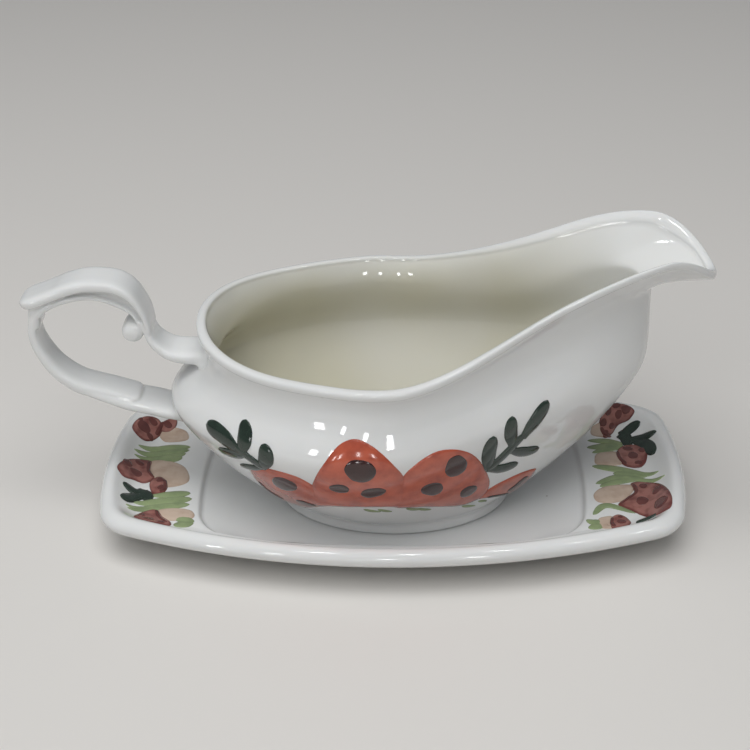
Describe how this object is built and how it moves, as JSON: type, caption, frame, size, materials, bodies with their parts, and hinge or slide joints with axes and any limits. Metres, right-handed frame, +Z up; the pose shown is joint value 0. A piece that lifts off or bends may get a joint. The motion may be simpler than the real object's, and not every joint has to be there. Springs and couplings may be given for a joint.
{
  "type": "gravy boat",
  "caption": "Glazed earthenware gravy boat with a scroll handle and long pouring spout, on a loose rectangular underplate.",
  "frame": {"origin": "on the table, under the middle of the underplate", "axes": "+X towards the pouring spout, +Y across the boat, +Z up"},
  "size_m": [0.2516, 0.124, 0.1126],
  "materials": {
    "boat_glaze": "gloss white glaze",
    "handle_glaze": "gloss white glaze",
    "plate_glaze": "gloss white glaze"
  },
  "bodies": {
    "underplate": {"underplate": "plate_glaze"},
    "boat": {"boat_bowl": "boat_glaze", "boat_handle": "handle_glaze"}
  },
  "joints": [
    {"name": "boat_lift", "type": "slide", "parent": "underplate", "child": "boat", "axis": [0, 0, 1], "range_m": [0, 0.1]}
  ]
}
